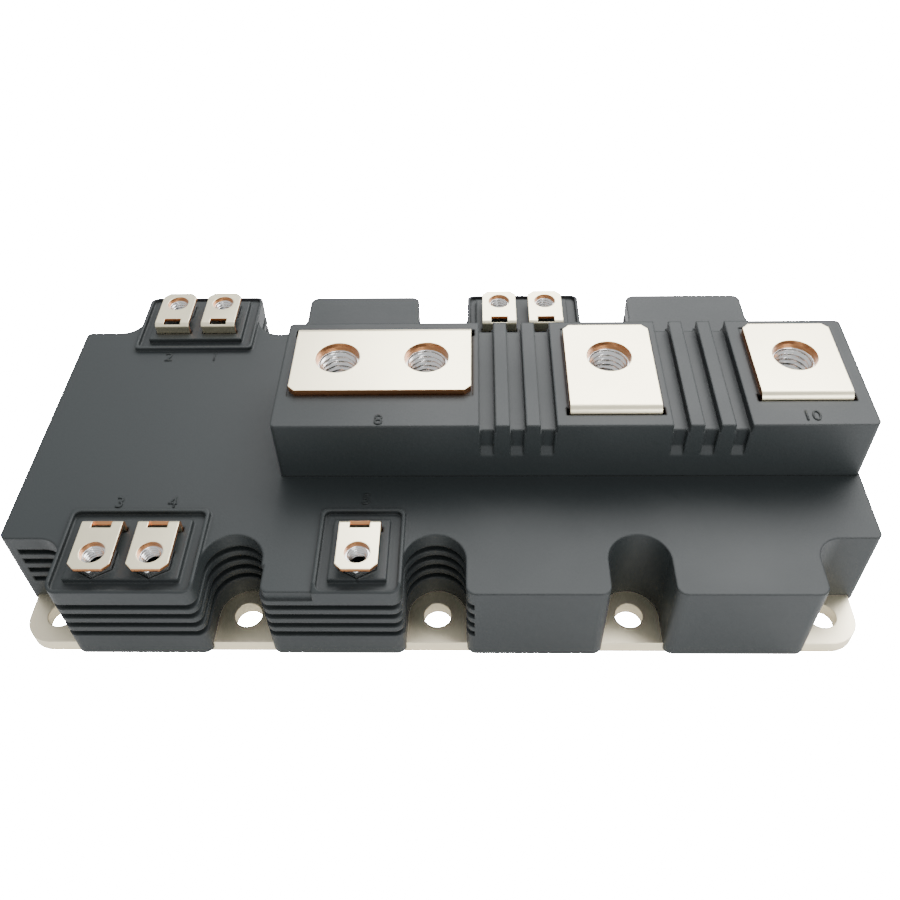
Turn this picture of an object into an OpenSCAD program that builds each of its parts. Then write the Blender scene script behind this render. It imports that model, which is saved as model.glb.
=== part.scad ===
// Half-bridge power module: a nickel-plated base plate under one moulded housing, with three
// screw terminals for the load current and seven small screw terminals for control.
// Millimetres. X runs along the length, Y across the width, Z up from the mounting face.
// The origin is the middle of the mounting face.

/* [Housing] */
// Length of the housing
housing_l = 172; // [168:1:210]
// Width of the housing
housing_w = 89; // [86:1:110]
// Height of the flat main deck above the mounting face
deck_z = 22; // [20:0.5:27]
// Thickness of the outer walls
wall = 3.5; // [2.8:0.1:4.5]
// Thickness of the deck
deck_t = 2.5; // [2:0.1:3.2]
// Height of the lower edge of the skirt that hides the rim of the plate
skirt_z = 1.5; // [0.5:0.1:2.2]
// Corner radius of the blocks between the screw notches
block_r = 2; // [1:0.1:2.8]
// Corner radius at the four ends of the housing
end_r = 1.2; // [0.5:0.1:2]

/* [Mounting] */
// Thickness of the base plate
plate_t = 3; // [2.5:0.1:4]
// Distance from the plate's edge to the centre of a mounting hole
plate_margin = 6.5; // [5.5:0.1:7]
// Corner radius of the plate
plate_r = 6; // [2:0.5:7]
// Diameter of a mounting hole
mount_hole_d = 5.6; // [4.5:0.1:6.8]
// Distance from the housing's end to the outermost mounting holes
mount_inset_x = 8; // [7.5:0.1:9]
// Distance from the housing's side to the mounting holes
mount_inset_y = 8; // [7.5:0.1:9]
// Radius of a screw notch along the sides
notch_r = 6; // [5:0.1:7]
// Radius of the notches at the four ends
end_notch_r = 5.1; // [4.8:0.1:6.5]
// Clearance between the skirt and the rim of the plate
skirt_gap = 0.15; // [0.1:0.05:0.3]

/* [Creepage grooves] */
// Height of one groove round the blocks
groove_h = 1.6; // [1:0.1:1.8]
// Distance from one groove to the next
groove_pitch = 3; // [2.6:0.1:3.4]
// Depth of a groove
groove_d = 1.4; // [0.8:0.1:1.6]
// Solid lip above the top groove
groove_lip = 3.5; // [3:0.1:4]
// Length of plain wall between the end of the housing and the first groove
groove_end = 2.5; // [2:0.5:5]
// How far the grooves run on past the last notch
groove_tail = 1.6; // [0.5:0.1:4]

/* [Raised block] */
// Width of the raised block
rise_w = 31.6; // [31:0.2:37]
// Distance of the raised block's middle line behind the middle of the housing
rise_y = 0.5; // [0.3:0.1:0.9]
// Height of the raised block's top above the mounting face
rise_z = 36.7; // [34:0.1:44]
// Thickness of the raised block's side walls
rise_wall = 2.2; // [1.8:0.1:2.6]
// Thickness of the raised block's top
rise_top = 3.8; // [3.4:0.1:4.2]
// Width of a slot across the raised block
rib_slot_w = 3.2; // [2:0.1:3.8]
// Depth of a slot in the top of the raised block
rib_slot_d = 2; // [1:0.1:2.6]
// Depth of a slot in the side of the raised block
rib_side_d = 0.85; // [0.4:0.05:1.2]
// Distance from one slot to the next
rib_pitch = 6; // [5:0.1:6.4]
// Height over which a side slot runs out to the face
rib_fade = 2; // [1:0.1:3]
// How far down the side a slot reaches, below the raised block's top
rib_drop = 8.5; // [5:0.5:10]

/* [Main terminals] */
// Width of the terminal with two holes
wide_w = 37; // [34:0.5:45]
// Width of a terminal with one hole
single_w = 18; // [16:0.5:22]
// Thickness of the terminal strip
bar_t = 1.5; // [1.2:0.1:1.8]
// Bend radius of the strip, on its middle line
bar_bend = 0.95; // [0.95:0.05:1.6]
// Distance between the two holes of the wide terminal
wide_pitch = 18.5; // [17:0.5:20]
// Diameter of the screw holes in the strip
bar_hole_d = 9.2; // [8.6:0.1:9.8]
// Free strip from the hole centres to the rear end
bar_rear = 10.1; // [8.5:0.1:10.3]
// Strip in front of the wide terminal's holes
wide_front = 9.9; // [8:0.1:14]
// Strip in front of the middle terminal's hole
middle_front = 15.7; // [12:0.1:16]
// Strip in front of the end terminal's hole
end_front = 12; // [11.9:0.1:16]
// Distance of the main screw line behind the middle of the housing
screw_y = 3.6; // [3:0.1:3.8]
// Gap between the wide terminal and the middle one
gap_1 = 19.5; // [19:0.5:26]
// Gap between the middle terminal and the end one
gap_2 = 20; // [19:0.5:26]
// Raised block beyond the wide terminal
rise_left = 2.5; // [2.2:0.1:5]
// Raised block beyond the end terminal
rise_right = 3.5; // [3:0.1:6]
// Cut corners at the free end of a strip
bar_cut = 1.3; // [0.5:0.1:2]
// Width across the flats of the main nuts
main_nut_af = 13; // [12:0.5:14]
// Height of the main nuts
main_nut_h = 6.5; // [5:0.1:7]
// Core diameter of the main thread
main_thread_d = 6.8; // [5:0.1:7.2]
// Free depth for the screw under a main nut
main_screw_depth = 8; // [5:0.5:9]

/* [Control terminals] */
// Width of a control terminal
tab_w = 8; // [7:0.1:9]
// Thickness of its strip
tab_t = 0.8; // [0.6:0.1:1]
// Length of its flat top
tab_l = 11.9; // [11:0.1:12.5]
// Distance from its free end to the hole centre
tab_hole_back = 3.9; // [3.5:0.1:4.4]
// Diameter of its screw hole
tab_hole_d = 4.9; // [4.6:0.1:5.6]
// Bend radius of its strip, on the middle line
tab_bend = 0.6; // [0.55:0.05:0.9]
// Width of the window at its bend
tab_window_w = 3.9; // [3:0.1:5]
// Length of the window on the flat top, from the outside of the bend
tab_window_l = 2.1; // [1.6:0.1:2.6]
// Distance between two control terminals
tab_pitch = 11; // [10:0.1:13]
// Distance from the housing's side to a tab's free end
tab_inset = 2.9; // [2.6:0.1:4]
// Height of the pedestal above the deck
pad_h = 1.2; // [1:0.1:1.6]
// Height of a tab's top above its pedestal
tab_rise = 2.8; // [2.4:0.1:3.2]
// Height of the rim round the pedestal above the deck
rim_h = 1; // [0.6:0.1:1.4]
// Height of the rim at the housing's side, where it slopes down
rim_low = 0.3; // [0.2:0.1:0.5]
// Thickness of the rim round the pedestal
rim_t = 0.7; // [0.6:0.1:1.2]
// Length of the rim from the housing's side
rim_l = 19.9; // [19:0.1:21]
// Width of the pedestal beyond the outermost tab
pad_side = 1.5; // [1:0.1:1.8]
// Pedestal between the tab's free end and the rim
pad_end = 0.3; // [0.2:0.1:0.8]
// How far the wall beside a lone terminal stands back above the top fin
ledge = 0.5; // [0.3:0.1:0.8]
// Width across the flats of the control nuts
tab_nut_af = 7; // [6.5:0.1:7.4]
// Core diameter of the control thread
tab_thread_d = 3.3; // [2.6:0.1:3.6]
// Free depth for the screw under a control nut
tab_screw_depth = 6; // [3:0.5:7]

/* [Power circuit] */
// Length of an insulating substrate, across the module
dbc_l = 51; // [50.5:0.5:53]
// Thickness of the solder under a substrate
solder_t = 0.2; // [0.1:0.05:0.3]
// Thickness of each copper layer
copper_t = 0.3; // [0.2:0.05:0.6]
// Thickness of the ceramic
ceramic_t = 1; // [0.4:0.1:1.2]
// Side of a switch chip
igbt_w = 9.5; // [8:0.5:9.5]
// Side of a diode chip
diode_w = 6; // [4.5:0.5:6]
// Thickness of the chips
chip_t = 0.4; // [0.2:0.05:0.6]
// Depth of the silicone gel over the base plate
gel_t = 8.5; // [6:0.5:9]

/* [Hidden] */
$fn = 64;
eps = 0.01;

// Mounting holes: five along each side.
mount_x = housing_l / 2 - mount_inset_x;
mount_y = housing_w / 2 - mount_inset_y;
mount_pitch = 2 * mount_x / 4;
plate_l = 2 * (mount_x + plate_margin);
plate_w = 2 * (mount_y + plate_margin);
notch_wall_y = mount_y - notch_r;
end_wall_y = mount_y - end_notch_r;

// Raised block, flush with the +X end of the housing.
rise_l = rise_left + wide_w + gap_1 + single_w + gap_2 + single_w + rise_right;
rise_x1 = housing_l / 2;
rise_x0 = rise_x1 - rise_l;
bar_top = rise_z + bar_t - 0.2;
seat_z = bar_top - bar_t;
wide_x = rise_x0 + rise_left + wide_w / 2;
middle_x = wide_x + wide_w / 2 + gap_1 + single_w / 2;
end_x = middle_x + gap_2 + single_w;
rib_shift = -0.6;
rib_groups = [wide_x + wide_w / 2 + gap_1 / 2 + rib_shift, middle_x + single_w / 2 + gap_2 / 2 + rib_shift];
rise_ceiling = rise_z - rise_top;
fit_gap = 0.1;
seat_gap = 0.35;
main_screws = [wide_x - wide_pitch / 2, wide_x + wide_pitch / 2, middle_x, end_x];

// Control terminals: [number, block (0 to 3 along X), side (-1 front, 1 rear), place in its block].
tabs = [[1, 0, 1, 0.5], [2, 0, 1, -0.5], [3, 0, -1, -0.5], [4, 0, -1, 0.5],
    [5, 1, -1, 0], [6, 2, 1, -0.5], [7, 2, 1, 0.5]];
pads = [[0, 1, 2], [0, -1, 2], [1, -1, 1], [2, 1, 2]];
single_pad_shift = 5.15;
pair_pad_shift = -0.4;
deck_ceiling = deck_z - deck_t;
pad_z = deck_z + pad_h;
tab_top = pad_z + tab_rise;
tab_nut_h = tab_top - tab_t - deck_z;
tab_free_y = housing_w / 2 - tab_inset;
tab_bend_y = tab_free_y - tab_l;
tab_screw_y = tab_free_y - tab_hole_back;
tab_lead_w = 3;
tab_run_z = 14.4;
tab_foot_y = dbc_l / 2 - 1.2;

// Substrates: six in a row inside the cavity.
dbc_count = 6;
dbc_gap = 2;
cavity_l = housing_l - 2 * wall;
dbc_pitch = 153 / 165 * cavity_l / dbc_count;
dbc_w = dbc_pitch - dbc_gap;
dbc_x = [for (i = [0:dbc_count - 1]) (i - (dbc_count - 1) / 2) * dbc_pitch];
circuit_z = plate_t + solder_t + 2 * copper_t + ceramic_t;
copper_rim = 0.8;
igbt_y = dbc_l / 2 - 1.8 - igbt_w / 2;
diode_y = diode_w / 2 + 0.5;
foot_w = 3;
foot_pitch = 6;
leg_step_z = 15;

function block_x(i) = (i - 1.5) * mount_pitch;
function block_left(i) = block_x(i) - mount_pitch / 2 + (i == 0 ? end_notch_r : notch_r);
function block_right(i) = block_x(i) + mount_pitch / 2 - (i == 3 ? end_notch_r : notch_r);
function clamp(v, low, high) = min(max(v, low), high);
function nearest(x) = [for (c = dbc_x) if (abs(c - x) == min([for (k = dbc_x) abs(k - x)])) c][0];
function pad_x(block, count) = block_x(block) + (count == 1 ? single_pad_shift : pair_pad_shift);
function tab_x(t) = pad_x(t[1], t[3] == 0 ? 1 : 2) + t[3] * tab_pitch;
function tab_foot_x(t) = let (c = nearest(tab_x(t)), reach = dbc_w / 2 - 2)
    clamp(tab_x(t), c - reach, c + reach);
function bar_foot_x(x, w) = let (reach = w / 2 - (foot_pitch + foot_w) / 2)
    clamp(nearest(x), x - reach, x + reach);
function unit(v) = v / norm(v);

// ---- shared shapes ----

module rounded(l, w, r) {
    square([l, w - 2 * r], center = true);
    square([l - 2 * r, w], center = true);
    for (x = [-1, 1], y = [-1, 1]) translate([x * (l / 2 - r), y * (w / 2 - r)]) circle(r);
}

module slab(x0, x1, y0, y1, z0, z1) {
    translate([x0, y0, z0]) cube([x1 - x0, y1 - y0, z1 - z0]);
}

// Outline of the housing with its ten screw notches, moved inwards by an inset.
module footprint(inset = 0) {
    difference() {
        union() {
            rounded(housing_l - 2 * inset, 2 * (end_wall_y - inset), end_r);
            square([2 * mount_x, 2 * mount_y], center = true);
            for (i = [0:3], side = [-1, 1]) block_outline(i, side, inset);
        }
        for (i = [-2:2], side = [-1, 1]) translate([i * mount_pitch, side * mount_y])
            circle((abs(i) == 2 ? end_notch_r : notch_r) + inset);
    }
}

// One block between two notches, from the middle line out to the side of the housing.
module block_outline(i, side, inset) {
    x0 = block_left(i) + inset;
    x1 = block_right(i) - inset;
    y1 = housing_w / 2 - inset;
    r = max(block_r - inset, 0.4);
    scale([1, side]) {
        translate([x0, 0]) square([x1 - x0, y1 - r]);
        translate([x0 + r, 0]) square([x1 - x0 - 2 * r, y1]);
        for (x = [x0 + r, x1 - r]) translate([x, y1 - r]) circle(r);
    }
}

// Turns a profile drawn in Y and Z into a strip w wide, centred on x.
module strip_at(x, w) {
    translate([x - w / 2, 0, 0]) rotate([90, 0, 90]) linear_extrude(w) children();
}

// Strip bent round right-angled corners: points in Y and Z on the middle line, thickness, bend radius.
module bent_strip(x, w, points, t, r) {
    last = len(points) - 1;
    for (i = [0:last - 1]) {
        d = unit(points[i + 1] - points[i]);
        a = points[i] + (i == 0 ? 0 : r) * d;
        b = points[i + 1] - (i == last - 1 ? 0 : r) * d;
        n = [-d[1], d[0]] * t / 2;
        strip_at(x, w) polygon([a + n, b + n, b - n, a - n]);
    }
    for (i = [1:last - 1]) {
        d0 = unit(points[i] - points[i - 1]);
        d1 = unit(points[i + 1] - points[i]);
        c = points[i] - r * d0 + r * d1;
        far = r + t;
        strip_at(x, w) intersection() {
            translate(c) difference() { circle(r + t / 2); circle(r - t / 2); }
            polygon([c, c + far * d0, c + far * (d0 - d1), c - far * d1]);
        }
    }
}

module hex_prism(across_flats, h, turn = 0) {
    rotate(turn) cylinder(h = h, d = across_flats / cos(30), $fn = 6);
}

// ---- base plate ----

module plate_outline(grow = 0) {
    rounded(plate_l + 2 * grow, plate_w + 2 * grow, plate_r + grow);
}

module base_plate() {
    color("wheat") difference() {
        linear_extrude(plate_t) plate_outline();
        for (i = [-2:2], side = [-1, 1])
            translate([i * mount_pitch, side * mount_y, -1]) cylinder(h = plate_t + 2, d = mount_hole_d);
    }
}

// ---- housing ----

// Four creepage grooves round the notched edge, from x0 to x1 on one side.
module groove_set(side, x0, x1) {
    for (k = [0:3])
        translate([0, 0, deck_z - groove_lip - groove_h - k * groove_pitch])
            linear_extrude(groove_h) difference() {
                translate([x0, side > 0 ? notch_wall_y - 4 : -housing_w / 2 - 1])
                    square([x1 - x0, housing_w / 2 - notch_wall_y + 5]);
                footprint(groove_d);
            }
}

module grooves() {
    start = -housing_l / 2 + groove_end;
    tail = notch_r + groove_tail;
    groove_set(-1, start, tail);
    groove_set(1, start, mount_pitch + tail);
}

// Left edge of the rim round a group of control terminals.
function pad_left(block, count) =
    count == 1 ? 2 * pad_x(block, count) - block_right(block) : block_left(block);

// Rim and pedestal that carry a group of control terminals. The rim slopes down to the side.
module terminal_pad(block, side, count) {
    x = pad_x(block, count);
    right = block_right(block);
    left = pad_left(block, count);
    y1 = housing_w / 2;
    y0 = y1 - rim_l;
    half = (count - 1) * tab_pitch / 2 + tab_w / 2 + pad_side;
    translate([0, 0, deck_z - eps]) scale([1, side, 1]) {
        difference() {
            linear_extrude(rim_h + eps) difference() {
                intersection() {
                    footprint();
                    translate([(left + right) / 2, y1 - rim_l / 2 + 5]) rounded(right - left, rim_l + 10, 1);
                }
                translate([(left + right) / 2, (y0 + y1) / 2])
                    rounded(right - left - 2 * rim_t, rim_l - 2 * rim_t, 1.2);
            }
            strip_at((left + right) / 2, right - left + 2) polygon([
                [y1 - 3 * rim_t, rim_h + 1],
                [y1 - 3 * rim_t, rim_h + eps],
                [y1 + 1, rim_low - 0.2],
                [y1 + 1, rim_h + 1]]);
        }
        linear_extrude(pad_h + eps) translate([x - half, tab_bend_y - 2.1])
            square([2 * half, tab_l + 2.1 + pad_end]);
    }
}

// Beside a lone terminal the wall stands back above the top fin.
module ledge_cuts() {
    for (p = pads) if (p[2] == 1) {
        left = block_left(p[0]) - 1;
        right = pad_left(p[0], p[2]);
        translate([0, 0, deck_z - groove_lip + groove_pitch - groove_h]) scale([1, p[1], 1])
            linear_extrude(groove_lip) difference() {
                translate([left, tab_screw_y]) square([right - left, housing_w / 2 - tab_screw_y + 1]);
                footprint(ledge);
            }
    }
}

// Everything cut out for one control terminal: nut pocket, screw bore and slot for the lead.
module tab_cuts(t) {
    scale([1, t[2], 1]) {
        translate([tab_x(t), tab_screw_y, deck_z]) hex_prism(tab_nut_af + 2 * fit_gap, pad_h + 1, 30);
        translate([tab_x(t), tab_screw_y, deck_z - tab_screw_depth])
            cylinder(h = tab_screw_depth + 1, d = tab_thread_d + 1.3);
        slab(tab_x(t) - tab_w / 2 - 0.2, tab_x(t) + tab_w / 2 + 0.2,
            tab_bend_y - 0.2, tab_bend_y + tab_t + 0.2, deck_ceiling - 1, pad_z + 1);
    }
}

// Blind boss under the deck for the tip of a control screw.
module tab_boss(t) {
    translate([tab_x(t), t[2] * tab_screw_y, deck_z - tab_screw_depth - 1.5])
        cylinder(h = tab_screw_depth + 1.5 - deck_t + eps, d = tab_thread_d + 5);
}

module rise_outline(inset) {
    translate([(rise_x0 + rise_x1) / 2, rise_y])
        rounded(rise_l - 2 * inset, rise_w - 2 * inset, 1);
}

// Slots across the raised block, which lengthen the path over the surface between the terminals.
module rib_slots() {
    for (group = rib_groups, k = [-1:1]) translate([group + k * rib_pitch, rise_y, 0]) {
        slab(-rib_slot_w / 2, rib_slot_w / 2, -rise_w / 2 - 1, rise_w / 2 + 1,
            rise_z - rib_slot_d, rise_z + 1);
        for (side = [-1, 1]) scale([1, side, 1]) strip_at(0, rib_slot_w - 0.6) polygon([
            [rise_w / 2 - rib_side_d, rise_z + 1],
            [rise_w / 2 - rib_side_d, rise_z - rib_drop + rib_fade],
            [rise_w / 2, rise_z - rib_drop],
            [rise_w / 2 + 1, rise_z - rib_drop],
            [rise_w / 2 + 1, rise_z + 1]]);
    }
}

// Boss that holds a main nut inside the raised block.
module nut_boss(x) {
    half_x = main_nut_af / cos(30) / 2 + 1.8;
    half_y = main_nut_af / 2 + 1;
    slab(x - half_x, x + half_x, screw_y - half_y, screw_y + half_y,
        seat_z - main_nut_h - main_screw_depth - 2, rise_ceiling + eps);
}

module nut_cuts(x) {
    translate([x, screw_y, seat_z - main_nut_h]) hex_prism(main_nut_af + 2 * fit_gap, main_nut_h + 1);
    translate([x, screw_y, seat_z - main_nut_h - main_screw_depth])
        cylinder(h = main_screw_depth + 1, d = main_thread_d + 2.4);
}

// Shallow seat and leg slot for a main terminal whose leg goes down at leg_y.
module bar_cuts(x, w, free_y, leg_y) {
    inner = sign(free_y - leg_y);
    bent_side = leg_y + inner * (bar_bend + 0.1);
    outer_side = leg_y - inner * (bar_t / 2 + 0.3);
    slab(x - w / 2 - seat_gap, x + w / 2 + seat_gap, min(free_y, leg_y), max(free_y, leg_y),
        seat_z, rise_z + 1);
    slab(x - w / 2 - 0.7, x + w / 2 + 0.7, min(bent_side, outer_side), max(bent_side, outer_side),
        rise_ceiling - 1, rise_z + 1);
}

module housing() {
    color("darkslategray") difference() {
        union() {
            difference() {
                translate([0, 0, skirt_z]) linear_extrude(deck_z - skirt_z) footprint();
                translate([0, 0, skirt_z - 1]) linear_extrude(deck_ceiling - skirt_z + 1) footprint(wall);
                linear_extrude(plate_t) plate_outline(skirt_gap);
                grooves();
                ledge_cuts();
            }
            for (p = pads) terminal_pad(p[0], p[1], p[2]);
            for (t = tabs) tab_boss(t);
        }
        translate([0, 0, deck_ceiling - 1]) linear_extrude(deck_t + 2) rise_outline(rise_wall);
        for (t = tabs) tab_cuts(t);
    }
}

// Raised block that stands on the deck round its opening and carries the main terminals.
module terminal_block() {
    color("dimgray") difference() {
        union() {
            translate([0, 0, deck_z]) difference() {
                linear_extrude(rise_z - deck_z) rise_outline(0);
                translate([0, 0, -1]) linear_extrude(rise_ceiling - deck_z + 1) rise_outline(rise_wall);
            }
            for (x = main_screws) nut_boss(x);
        }
        rib_slots();
        for (x = main_screws) nut_cuts(x);
        bar_cuts(wide_x, wide_w, screw_y - wide_front - seat_gap, wide_leg_y);
        bar_cuts(middle_x, single_w, screw_y + bar_rear + seat_gap, middle_leg_y);
        bar_cuts(end_x, single_w, screw_y + bar_rear + seat_gap, end_leg_y);
    }
}

// ---- main terminals ----

wide_leg_y = screw_y + bar_rear - bar_t / 2;
middle_leg_y = screw_y - middle_front + bar_t / 2;
end_leg_y = screw_y - end_front + bar_t / 2;

// Strip from its free end to a leg that stands on the circuit copper with two feet.
module main_terminal(x, w, free_y, leg_y, holes) {
    foot_x = bar_foot_x(x, w);
    difference() {
        bent_strip(x, w, [[free_y, bar_top - bar_t / 2], [leg_y, bar_top - bar_t / 2], [leg_y, circuit_z]],
            bar_t, bar_bend);
        for (hx = holes) translate([hx, screw_y, seat_z - 1]) cylinder(h = bar_t + 2, d = bar_hole_d);
        for (side = [-1, 1]) translate([x + side * w / 2, free_y, seat_z - 1])
            rotate(45) cube([bar_cut * sqrt(2), bar_cut * sqrt(2), 2 * bar_t + 4], center = true);
        difference() {
            slab(x - w / 2 - 1, x + w / 2 + 1, leg_y - bar_t, leg_y + bar_t, circuit_z - 1, leg_step_z);
            for (side = [-1, 1]) translate([foot_x + side * foot_pitch / 2, 0, 0])
                slab(-foot_w / 2, foot_w / 2, leg_y - bar_t - 1, leg_y + bar_t + 1,
                    circuit_z - 2, leg_step_z + 1);
        }
    }
}

module terminal_8() {
    color("antiquewhite") main_terminal(wide_x, wide_w, screw_y - wide_front, wide_leg_y,
        [wide_x - wide_pitch / 2, wide_x + wide_pitch / 2]);
}

module terminal_9() {
    color("antiquewhite") main_terminal(middle_x, single_w, screw_y + bar_rear, middle_leg_y, [middle_x]);
}

module terminal_10() {
    color("antiquewhite") main_terminal(end_x, single_w, screw_y + bar_rear, end_leg_y, [end_x]);
}

module main_nuts() {
    color("silver") for (x = main_screws) translate([x, screw_y, seat_z - main_nut_h]) difference() {
        hex_prism(main_nut_af, main_nut_h);
        translate([0, 0, -1]) cylinder(h = main_nut_h + 2, d = main_thread_d);
    }
}

// ---- control terminals ----

// Tab with a window at its bend, and a narrow lead that steps inwards and down to the circuit.
module control_terminal(n) {
    t = tabs[n - 1];
    x = tab_x(t);
    foot_x = tab_foot_x(t);
    leg_y = tab_bend_y + tab_t / 2;
    neck_z = deck_ceiling - 0.5;
    bend_y = leg_y + tab_bend;
    bend_z = tab_top - tab_t / 2 - tab_bend;
    color("antiquewhite") scale([1, t[2], 1]) {
        difference() {
            bent_strip(x, tab_w, [[tab_free_y, tab_top - tab_t / 2], [leg_y, tab_top - tab_t / 2],
                [leg_y, neck_z]], tab_t, tab_bend);
            translate([x, tab_screw_y, tab_top - tab_t - 1]) cylinder(h = tab_t + 2, d = tab_hole_d);
            for (side = [-1, 1]) translate([x + side * tab_w / 2, tab_free_y, tab_top])
                rotate(45) cube([1.3 * sqrt(2), 1.3 * sqrt(2), 4], center = true);
            strip_at(x, tab_window_w) polygon([[bend_y, bend_z], [bend_y - 3, bend_z + 3],
                [tab_bend_y + tab_window_l, bend_z + 3], [tab_bend_y + tab_window_l, bend_z]]);
        }
        bent_strip(x, tab_lead_w, [[leg_y, neck_z + eps], [leg_y, tab_run_z],
            [leg_y - 2 * tab_bend, tab_run_z]], tab_t, tab_bend);
        slab(min(x, foot_x) - tab_lead_w / 2, max(x, foot_x) + tab_lead_w / 2,
            tab_foot_y + tab_bend, leg_y - tab_bend, tab_run_z - tab_t / 2, tab_run_z + tab_t / 2);
        bent_strip(foot_x, tab_lead_w, [[leg_y - 2 * tab_bend, tab_run_z], [tab_foot_y, tab_run_z],
            [tab_foot_y, circuit_z]], tab_t, tab_bend);
    }
}

module terminal_1() { control_terminal(1); }
module terminal_2() { control_terminal(2); }
module terminal_3() { control_terminal(3); }
module terminal_4() { control_terminal(4); }
module terminal_5() { control_terminal(5); }
module terminal_6() { control_terminal(6); }
module terminal_7() { control_terminal(7); }

module control_nuts() {
    color("silver") for (t = tabs) translate([tab_x(t), t[2] * tab_screw_y, deck_z]) difference() {
        hex_prism(tab_nut_af, tab_nut_h, 30);
        translate([0, 0, -1]) cylinder(h = tab_nut_h + 2, d = tab_thread_d);
    }
}

// ---- power circuit ----

// One layer of every substrate: how far it stays inside the ceramic, its lowest level and thickness.
module dbc_layer(rim, z, t) {
    for (x = dbc_x)
        slab(x - dbc_w / 2 + rim, x + dbc_w / 2 - rim, -dbc_l / 2 + rim, dbc_l / 2 - rim, z, z + t);
}

module solder_layers() { color("lightgray") dbc_layer(copper_rim, plate_t, solder_t); }
module back_copper() { color("chocolate") dbc_layer(copper_rim, plate_t + solder_t, copper_t); }
module ceramics() { color("whitesmoke") dbc_layer(0, plate_t + solder_t + copper_t, ceramic_t); }

// The upper copper is etched into one field for each half of the substrate.
module circuit_copper() {
    z = circuit_z - copper_t;
    color("chocolate") for (x = dbc_x, side = [-1, 1]) scale([1, side, 1])
        slab(x - dbc_w / 2 + copper_rim, x + dbc_w / 2 - copper_rim, 0.4, dbc_l / 2 - 0.4, z, circuit_z);
}

module chips(side_l, y) {
    for (x = dbc_x, side = [-1, 1]) translate([x, side * y, circuit_z + chip_t / 2])
        cube([side_l, side_l, chip_t], center = true);
}

module switch_chips() { color("dimgray") chips(igbt_w, igbt_y); }
module diode_chips() { color("gray") chips(diode_w, diode_y); }

module thermistor() {
    color("black") translate([dbc_x[0] + dbc_w / 2 - 4, 10.6, circuit_z + 0.5])
        cube([3.2, 1.6, 1], center = true);
}

// Gel poured over the circuit, up to the walls of the cavity.
module silicone_gel() {
    color("azure") difference() {
        translate([0, 0, plate_t]) linear_extrude(gel_t) footprint(wall);
        solder_layers();
        back_copper();
        ceramics();
        circuit_copper();
        switch_chips();
        diode_chips();
        thermistor();
        terminal_8();
        terminal_9();
        terminal_10();
        for (n = [1:7]) control_terminal(n);
    }
}

base_plate();
housing();
terminal_block();
terminal_8();
terminal_9();
terminal_10();
terminal_1();
terminal_2();
terminal_3();
terminal_4();
terminal_5();
terminal_6();
terminal_7();
main_nuts();
control_nuts();
solder_layers();
back_copper();
ceramics();
circuit_copper();
switch_chips();
diode_chips();
thermistor();
silicone_gel();
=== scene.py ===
# %% [markdown]
# # Power module
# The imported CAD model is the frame. This script gives each CAD part its surface, replaces the plain nuts
# with threaded ones, adds the small moulded terminal numbers, and sets up the light and the camera.

# %% Load the frame
import math

import bmesh
import bpy
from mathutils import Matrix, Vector


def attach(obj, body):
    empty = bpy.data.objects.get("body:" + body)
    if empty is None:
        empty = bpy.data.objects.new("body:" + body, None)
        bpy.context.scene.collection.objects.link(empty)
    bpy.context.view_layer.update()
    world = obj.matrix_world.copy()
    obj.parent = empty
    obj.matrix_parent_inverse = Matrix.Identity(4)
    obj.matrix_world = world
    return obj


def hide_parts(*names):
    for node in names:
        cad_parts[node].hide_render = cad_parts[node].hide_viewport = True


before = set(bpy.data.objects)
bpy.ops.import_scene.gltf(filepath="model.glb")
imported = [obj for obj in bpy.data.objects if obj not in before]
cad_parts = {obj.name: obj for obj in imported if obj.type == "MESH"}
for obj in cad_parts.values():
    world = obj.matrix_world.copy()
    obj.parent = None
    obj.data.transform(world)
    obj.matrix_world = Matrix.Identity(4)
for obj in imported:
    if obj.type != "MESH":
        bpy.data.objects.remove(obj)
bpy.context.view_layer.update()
MM = 0.001
print("nodes", sorted(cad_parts))

# %% [markdown]
# ## Effects shared by the materials
# Each effect is a node group with named inputs. `fine_grain` rounds the look of every edge, as moulding and
# stamping do, and adds the small random roughness of a moulded or plated skin. `cut_edges` finds the sheared
# sides of a plated strip, where the copper core is bare.

# %% Node group helpers
def new_group(name, inputs, outputs):
    group = bpy.data.node_groups.new(name, "ShaderNodeTree")
    for label, kind, value in inputs:
        socket = group.interface.new_socket(name=label, in_out="INPUT", socket_type=kind)
        if value is not None:
            socket.default_value = value
    for label, kind in outputs:
        group.interface.new_socket(name=label, in_out="OUTPUT", socket_type=kind)
    return group, group.nodes.new("NodeGroupInput"), group.nodes.new("NodeGroupOutput")


def math_node(tree, operation, *values):
    node = tree.nodes.new("ShaderNodeMath")
    node.operation = operation
    for socket, value in zip(node.inputs, values):
        if isinstance(value, (int, float)):
            socket.default_value = value
        else:
            tree.links.new(value, socket)
    return node.outputs[0]


def object_noise(tree, scale, detail):
    coords = tree.nodes.new("ShaderNodeTexCoord")
    noise = tree.nodes.new("ShaderNodeTexNoise")
    noise.inputs["Scale"].default_value = scale
    noise.inputs["Detail"].default_value = detail
    tree.links.new(coords.outputs["Object"], noise.inputs["Vector"])
    return noise


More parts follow.
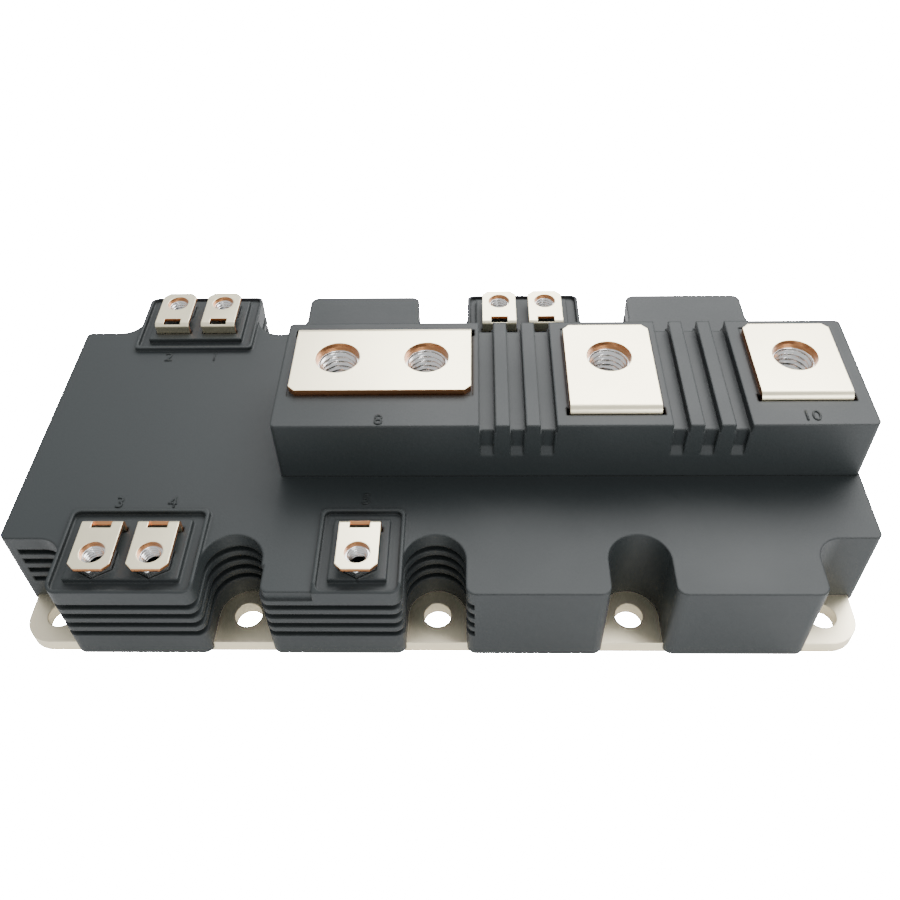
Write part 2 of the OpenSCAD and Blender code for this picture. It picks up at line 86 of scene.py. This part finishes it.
# %% Soft edges with fine grain
grain, g_in, g_out = new_group(
    "fine_grain",
    [("Edge radius", "NodeSocketFloat", 0.0003), ("Grain size", "NodeSocketFloat", 0.0004),
     ("Grain height", "NodeSocketFloat", 0.00001)],
    [("Normal", "NodeSocketVector"), ("Tone", "NodeSocketFloat")])
bevel = grain.nodes.new("ShaderNodeBevel")
bevel.samples = 6
grain.links.new(g_in.outputs["Edge radius"], bevel.inputs["Radius"])
fine = object_noise(grain, 1.0, 3.0)
grain.links.new(math_node(grain, "DIVIDE", 1.0, g_in.outputs["Grain size"]), fine.inputs["Scale"])
bump = grain.nodes.new("ShaderNodeBump")
grain.links.new(fine.outputs["Fac"], bump.inputs["Height"])
grain.links.new(g_in.outputs["Grain height"], bump.inputs["Distance"])
grain.links.new(bevel.outputs[0], bump.inputs["Normal"])
grain.links.new(bump.outputs[0], g_out.inputs["Normal"])
slow = object_noise(grain, 35.0, 4.0)
grain.links.new(slow.outputs["Fac"], g_out.inputs["Tone"])
print("group", grain.name)

# %% Sheared edges of a strip
cut, c_in, c_out = new_group(
    "cut_edges",
    [("Bend Y", "NodeSocketFloat", 0.0), ("Free side", "NodeSocketFloat", 1.0),
     ("Seat Z", "NodeSocketFloat", 0.0)],
    [("Bare", "NodeSocketFloat")])
normal = cut.nodes.new("ShaderNodeSeparateXYZ")
geometry = cut.nodes.new("ShaderNodeNewGeometry")
cut.links.new(geometry.outputs["True Normal"], normal.inputs[0])
place = cut.nodes.new("ShaderNodeSeparateXYZ")
coords = cut.nodes.new("ShaderNodeTexCoord")
cut.links.new(coords.outputs["Object"], place.inputs[0])
side_face = math_node(cut, "GREATER_THAN", math_node(cut, "ABSOLUTE", normal.outputs[0]), 0.5)
facing = math_node(cut, "GREATER_THAN",
                   math_node(cut, "MULTIPLY", normal.outputs[1], c_in.outputs["Free side"]), 0.5)
upright = math_node(cut, "LESS_THAN", math_node(cut, "ABSOLUTE", normal.outputs[2]), 0.5)
above = math_node(cut, "GREATER_THAN", place.outputs[2], c_in.outputs["Seat Z"])
past = math_node(cut, "MULTIPLY", math_node(cut, "SUBTRACT", place.outputs[1], c_in.outputs["Bend Y"]),
                 c_in.outputs["Free side"])
flat = math_node(cut, "GREATER_THAN", past, 0.0)
rim = math_node(cut, "MULTIPLY", math_node(cut, "MULTIPLY", upright, above), flat)
window = math_node(cut, "MULTIPLY", facing, above)
bare = math_node(cut, "MAXIMUM", side_face, math_node(cut, "MAXIMUM", rim, window))
cut.links.new(bare, c_out.inputs["Bare"])
print("group", cut.name)

# %% [markdown]
# ## Materials
# The housing is a filled thermoplastic, injection moulded in a spark-eroded tool, so its skin is dark, matt
# and finely grained. Plate and terminals are stamped from copper and nickel plated. The strip is plated
# before stamping, so the sheared sides show copper.

# %% Material helper
def new_material(name, color, roughness, metallic=0.0, tone=0.0, edge=0.3, grain_size=0.3, grain_height=0.004,
                 rough_swing=0.0):
    """Principled material on the grain group. Lengths in millimetres, tone is the spread of the colour."""
    material = bpy.data.materials.new(name)
    material.use_nodes = True
    tree = material.node_tree
    shader = tree.nodes["Principled BSDF"]
    shader.inputs["Metallic"].default_value = metallic
    shader.inputs["Roughness"].default_value = roughness
    shader.inputs["Base Color"].default_value = (*color, 1)
    group = tree.nodes.new("ShaderNodeGroup")
    group.node_tree = grain
    group.inputs["Edge radius"].default_value = edge * MM
    group.inputs["Grain size"].default_value = grain_size * MM
    group.inputs["Grain height"].default_value = grain_height * MM
    tree.links.new(group.outputs["Normal"], shader.inputs["Normal"])
    if tone:
        mix = tree.nodes.new("ShaderNodeMix")
        mix.data_type = "RGBA"
        mix.inputs["A"].default_value = (*(v * (1 - tone) for v in color), 1)
        mix.inputs["B"].default_value = (*(min(1.0, v * (1 + tone)) for v in color), 1)
        tree.links.new(group.outputs["Tone"], mix.inputs["Factor"])
        tree.links.new(mix.outputs["Result"], shader.inputs["Base Color"])
    if rough_swing:
        spread = tree.nodes.new("ShaderNodeMapRange")
        spread.inputs["From Min"].default_value = 0.3
        spread.inputs["From Max"].default_value = 0.7
        spread.inputs["To Min"].default_value = roughness - rough_swing
        spread.inputs["To Max"].default_value = roughness + rough_swing
        tree.links.new(group.outputs["Tone"], spread.inputs["Value"])
        tree.links.new(spread.outputs[0], shader.inputs["Roughness"])
    return material


# %% Housing plastic and metals
plastic = new_material("housing_plastic", (0.017, 0.021, 0.0215), 0.5, tone=0.08, edge=0.6, grain_size=0.35,
                       grain_height=0.012, rough_swing=0.04)
plate_metal = new_material("nickel_plate", (0.93, 0.84, 0.62), 0.38, metallic=1.0, tone=0.05, edge=0.3,
                           grain_size=0.9, grain_height=0.006, rough_swing=0.05)
steel = new_material("nut_steel", (0.66, 0.66, 0.65), 0.22, metallic=1.0, tone=0.05, edge=0.1)
copper = new_material("copper", (0.80, 0.45, 0.30), 0.35, metallic=1.0, tone=0.06, edge=0.1)
solder = new_material("solder", (0.62, 0.63, 0.64), 0.4, metallic=1.0, tone=0.05, edge=0.05)
ceramic = new_material("ceramic", (0.88, 0.87, 0.84), 0.5, tone=0.03, edge=0.05)
silicon = new_material("silicon", (0.10, 0.105, 0.12), 0.12, metallic=0.6, tone=0.05, edge=0.05)
sensor = new_material("sensor_body", (0.03, 0.03, 0.03), 0.4, tone=0.1, edge=0.05)
gel = new_material("clear_gel", (0.9, 0.93, 0.92), 0.08, tone=0.02, edge=0.2)
gel.node_tree.nodes["Principled BSDF"].inputs["Transmission Weight"].default_value = 0.9
gel.node_tree.nodes["Principled BSDF"].inputs["IOR"].default_value = 1.41
plastic.node_tree.nodes["Principled BSDF"].inputs["Specular IOR Level"].default_value = 0.38
print("materials", len(bpy.data.materials))

# %% Plated strip with bare edges
def strip_material(name, bend_y, free_side, seat_z):
    material = new_material(name, (0.93, 0.85, 0.61), 0.34, metallic=1.0, tone=0.05, edge=0.25,
                            grain_size=0.8, grain_height=0.005, rough_swing=0.05)
    tree = material.node_tree
    shader = tree.nodes["Principled BSDF"]
    plated = shader.inputs["Base Color"].links[0].from_socket
    edges = tree.nodes.new("ShaderNodeGroup")
    edges.node_tree = cut
    edges.inputs["Bend Y"].default_value = bend_y * MM
    edges.inputs["Free side"].default_value = free_side
    edges.inputs["Seat Z"].default_value = seat_z * MM
    mix = tree.nodes.new("ShaderNodeMix")
    mix.data_type = "RGBA"
    mix.inputs["B"].default_value = (0.58, 0.27, 0.12, 1)
    tree.links.new(edges.outputs["Bare"], mix.inputs["Factor"])
    tree.links.new(plated, mix.inputs["A"])
    tree.links.new(mix.outputs["Result"], shader.inputs["Base Color"])
    return material


def paint(node, material):
    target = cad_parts[node]
    target.data.materials.clear()
    target.data.materials.append(material)


BAR_SEAT, TAB_SEAT, TAB_BEND_Y = 36.45, 25.15, 30.8
for node, bend_y, free_side in (("terminal_8", 12.0, -1), ("terminal_9", -10.4, 1), ("terminal_10", -6.7, 1)):
    paint(node, strip_material(node + "_finish", bend_y, free_side, BAR_SEAT))
for number in range(1, 8):
    side = -1 if number in (3, 4, 5) else 1
    name = f"terminal_{number}"
    paint(name, strip_material(name + "_finish", side * TAB_BEND_Y, side, TAB_SEAT))
for node, material in (("housing", plastic), ("terminal_block", plastic), ("base_plate", plate_metal),
                       ("main_nuts", steel), ("control_nuts", steel), ("solder_layers", solder),
                       ("back_copper", copper), ("ceramics", ceramic), ("circuit_copper", copper),
                       ("switch_chips", silicon), ("diode_chips", silicon), ("thermistor", sensor),
                       ("silicone_gel", gel)):
    paint(node, material)
print("painted", len(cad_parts))

# %% [markdown]
# ## Threaded nuts
# The nuts are cold formed and tapped. They are pressed into hexagonal pockets of the housing. Their threads
# are bright and easy to see through the terminal holes, so each nut is made again here with a spiral thread.

# %% Make the nuts
SIDES = 48
ROWS_PER_TURN = 8


def threaded_nut(name, x, y, z, height, across, minor, major, pitch, turn):
    """Hexagonal nut with a cut thread, lengths in millimetres, z is its underside."""
    rows = int(height / pitch * ROWS_PER_TURN)
    mesh = bmesh.new()
    bore, outer = [], []
    for row in range(rows + 1):
        level = height * row / rows
        ring = []
        for step in range(SIDES):
            phase = (level / pitch - step / SIDES) % 1.0
            depth = 1 - abs(2 * phase - 1)
            edge = min(1.0, min(level, height - level) / (0.5 * pitch))
            radius = minor + (major - minor) * (1 - edge + edge * min(1.0, max(0.0, depth * 1.3 - 0.15)))
            angle = 2 * math.pi * step / SIDES
            ring.append(mesh.verts.new((radius * math.cos(angle), radius * math.sin(angle), level)))
        bore.append(ring)
    chamfer = 0.06 * across
    for level, inset in ((0, chamfer), (chamfer * 0.58, 0), (height - chamfer * 0.58, 0), (height, chamfer)):
        ring = []
        for step in range(SIDES):
            angle = 2 * math.pi * step / SIDES
            local = (math.degrees(angle) - turn) % 60 - 30
            flat = across / 2 / math.cos(math.radians(local))
            radius = min(flat, across / math.cos(math.radians(30)) / 2 - inset)
            ring.append(mesh.verts.new((radius * math.cos(angle), radius * math.sin(angle), level)))
        outer.append(ring)
    loops = bore[::-1] + outer
    for first, second in zip(loops, loops[1:] + loops[:1]):
        for step in range(SIDES):
            after = (step + 1) % SIDES
            mesh.faces.new((first[step], first[after], second[after], second[step]))
    bmesh.ops.recalc_face_normals(mesh, faces=mesh.faces)
    bmesh.ops.translate(mesh, verts=mesh.verts, vec=Vector((x, y, z)))
    bmesh.ops.scale(mesh, verts=mesh.verts, vec=(MM, MM, MM))
    data = bpy.data.meshes.new(name)
    mesh.to_mesh(data)
    mesh.free()
    piece = bpy.data.objects.new(name, data)
    bpy.context.collection.objects.link(piece)
    data.materials.append(steel)
    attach(piece, "root")
    return piece


DECK_Z, RISE_Z = 22.0, 36.7
MAIN_SCREW_Y, TAB_SCREW_Y = 3.6, 37.7
main_screw_x = (-20.75, -2.25, 35.5, 73.5)
tab_places = {1: (-53.4, 1), 2: (-64.4, 1), 3: (-64.4, -1), 4: (-53.4, -1), 5: (-14.35, -1), 6: (13.6, 1),
              7: (24.6, 1)}
M8 = {"z": 30.0, "height": 6.5, "across": 13, "minor": 3.4, "major": 4.0, "pitch": 1.25, "turn": 0}
M4 = {"z": DECK_Z, "height": 3.2, "across": 7, "minor": 1.65, "major": 2.0, "pitch": 0.7, "turn": 30}
big = [threaded_nut(f"main_nut_{i + 1}", x, MAIN_SCREW_Y, **M8) for i, x in enumerate(main_screw_x)]
small = [threaded_nut(f"control_nut_{n}", x, side * TAB_SCREW_Y, **M4) for n, (x, side) in tab_places.items()]
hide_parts("main_nuts")
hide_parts("control_nuts")
print("nuts", len(big), len(small), "faces", sum(len(o.data.polygons) for o in big + small))

# %% [markdown]
# ## Terminal numbers
# Plain numbers stand a little proud of the housing beside the terminals. They are engraved in the mould, so
# they come out in the same plastic. Each one is a filled letter shape, raised by about 0.2 mm.

# %% Make the numbers
NUMBER_RELIEF = 0.1


def number(text, x, y, z, height):
    curve = bpy.data.curves.new("number_" + text, "FONT")
    curve.body = text
    curve.size = height / 0.7 * MM
    curve.extrude = NUMBER_RELIEF * MM
    curve.align_x = "CENTER"
    curve.align_y = "CENTER"
    curve.resolution_u = 3
    holder = bpy.data.objects.new("number_" + text, curve)
    bpy.context.collection.objects.link(holder)
    bpy.context.view_layer.update()
    data = bpy.data.meshes.new_from_object(holder.evaluated_get(bpy.context.evaluated_depsgraph_get()))
    bpy.data.objects.remove(holder)
    for vertex in data.vertices:
        vertex.co = vertex.co + Vector((x, y, z + 0.09)) * MM
    data.materials.clear()
    data.materials.append(plastic)
    piece = bpy.data.objects.new("number_" + text, data)
    bpy.context.collection.objects.link(piece)
    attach(piece, "root")
    return piece


tab_numbers = (("1", -53.4, 22.3), ("2", -64.2, 22.3), ("3", -64.2, -22.3), ("4", -53.4, -22.3),
               ("5", -14.2, -21.6), ("6", 13.6, 22.3), ("7", 24.6, 22.3))
bar_numbers = (("8", -11.2, -13.6), ("10", 73.2, -12.9))
numbers = [number(text, x, y, DECK_Z, 2.8) for text, x, y in tab_numbers]
numbers += [number(text, x, y, RISE_Z, 2.7) for text, x, y in bar_numbers]
print("numbers", [piece.name for piece in numbers])

# %% [markdown]
# ## Light, floor and camera
# A white floor and a bright, even surround, as in a light tent. The main soft box stands behind and to the
# right, and a smaller one in front at the right, so the left end stays darker. To the camera the floor looks
# pure white, while the piece gets only a faint light from it.

# %% Floor
floor_data = bpy.data.meshes.new("floor")
FLOOR_HALF = 3
corners = [(x * FLOOR_HALF, y * FLOOR_HALF, 0) for x, y in ((-1, -1), (1, -1), (1, 1), (-1, 1))]
floor_data.from_pydata(corners, [], [(0, 1, 2, 3)])
floor = bpy.data.objects.new("floor", floor_data)
bpy.context.collection.objects.link(floor)
floor_material = bpy.data.materials.new("floor_white")
floor_material.use_nodes = True
floor_shader = floor_material.node_tree.nodes["Principled BSDF"]
floor_shader.inputs["Base Color"].default_value = (0.95, 0.95, 0.95, 1)
floor_shader.inputs["Roughness"].default_value = 0.9
floor_shader.inputs["Emission Color"].default_value = (1, 1, 1, 1)
floor_tree = floor_material.node_tree
rays = floor_tree.nodes.new("ShaderNodeLightPath")
glow = floor_tree.nodes.new("ShaderNodeMapRange")
glow.inputs["To Min"].default_value = 0.35
glow.inputs["To Max"].default_value = 60.0
floor_tree.links.new(rays.outputs["Is Camera Ray"], glow.inputs["Value"])
floor_tree.links.new(glow.outputs[0], floor_shader.inputs["Emission Strength"])
floor_data.materials.append(floor_material)
floor.location.z = -0.00002

# %% Lights
def soft_box(name, place, aim, width, depth, power, color=(1, 1, 1)):
    data = bpy.data.lights.new(name, "AREA")
    data.shape = "RECTANGLE"
    data.size, data.size_y = width, depth
    data.energy = power
    data.color = color
    lamp = bpy.data.objects.new(name, data)
    lamp.location = place
    lamp.rotation_euler = (Vector(aim) - Vector(place)).to_track_quat("-Z", "Y").to_euler()
    bpy.context.collection.objects.link(lamp)
    return lamp


soft_box("key", (0.25, 0.45, 0.60), (0.02, 0, 0), 0.9, 0.5, 11.0)
soft_box("fill", (0.40, -0.60, 0.35), (0.03, 0, 0.01), 0.5, 0.4, 3.6)
world = bpy.data.worlds.new("studio")
bpy.context.scene.world = world
world.use_nodes = True
world.node_tree.nodes["Background"].inputs["Color"].default_value = (0.95, 0.97, 1.0, 1)
world.node_tree.nodes["Background"].inputs["Strength"].default_value = 1.0

# %% Camera
camera_data = bpy.data.cameras.new("camera")
camera_data.sensor_width = 36
camera_data.lens = 37.4
camera_data.clip_start = 0.01
camera = bpy.data.objects.new("camera", camera_data)
camera.location = Vector((8.03, -143.16, 165.86)) * MM
camera.rotation_euler = [math.radians(v) for v in (43.26, 1.30, 0.97)]
bpy.context.collection.objects.link(camera)
bpy.context.scene.camera = camera
